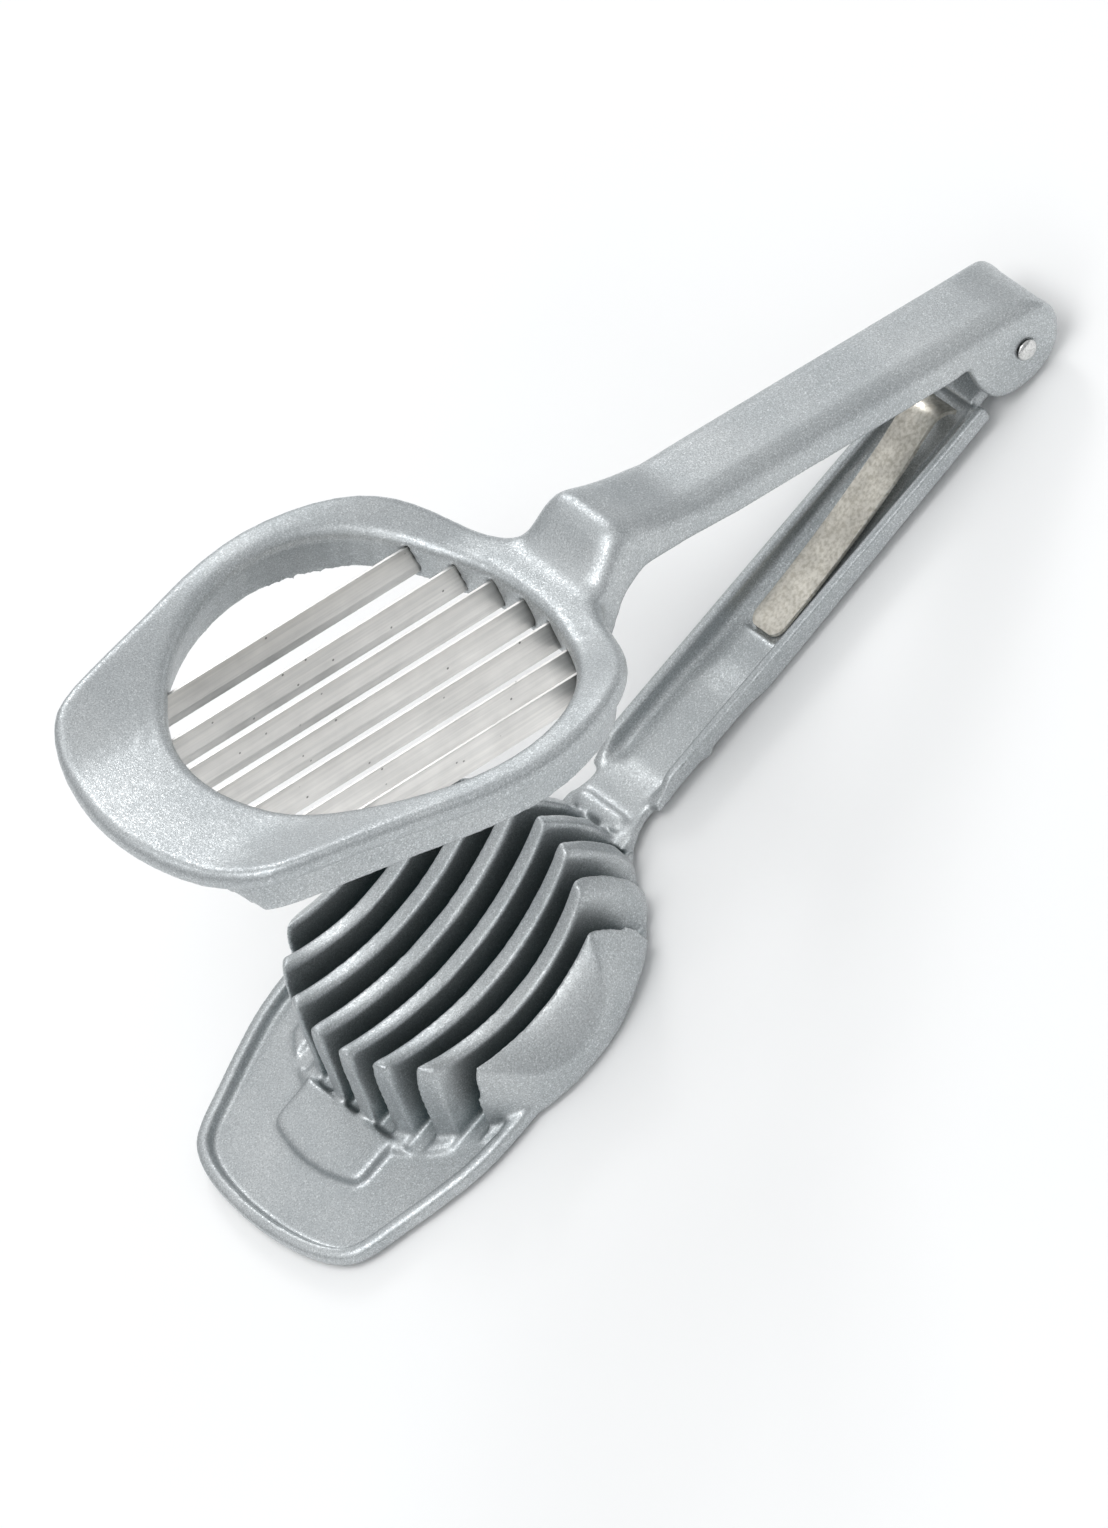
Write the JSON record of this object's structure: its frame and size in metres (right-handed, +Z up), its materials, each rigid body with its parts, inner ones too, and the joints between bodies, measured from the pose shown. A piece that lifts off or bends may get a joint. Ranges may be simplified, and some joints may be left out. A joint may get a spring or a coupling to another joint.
{
  "type": "egg slicer",
  "caption": "Hand-held egg slicer: a hinged blade frame closes over a slotted cradle, and a leaf spring between the handles opens it.",
  "frame": {"origin": "middle of the flat underside of the egg cradle, on the table", "axes": "+Z up, +X from the hinge towards the lip, +Y across the cradle"},
  "size_m": [0.219, 0.09, 0.1021],
  "materials": {
    "cast_aluminium": "matte silver coat with a fine metallic sparkle",
    "blade_steel": "satin rolled stainless",
    "spring_steel": "mottled, heat tinted",
    "pin_steel": "bright"
  },
  "bodies": {
    "lower": {"lower_tray": "cast_aluminium", "leaf_spring": "spring_steel"},
    "upper": {"upper_frame": "cast_aluminium", "hinge_pin": "pin_steel", "blade_1": "blade_steel", "blade_2": "blade_steel", "blade_3": "blade_steel", "blade_4": "blade_steel", "blade_5": "blade_steel", "blade_6": "blade_steel", "blade_7": "blade_steel"}
  },
  "joints": [
    {"name": "handle_hinge", "type": "hinge", "parent": "lower", "child": "upper", "pos_m": [-0.1495, 0, 0.0085], "axis": [0, 1, 0], "range_deg": [0, 25.5], "stiffness_Nm_per_rad": 0.9, "springref_deg": -20.05, "deforming": ["leaf_spring"]}
  ]
}
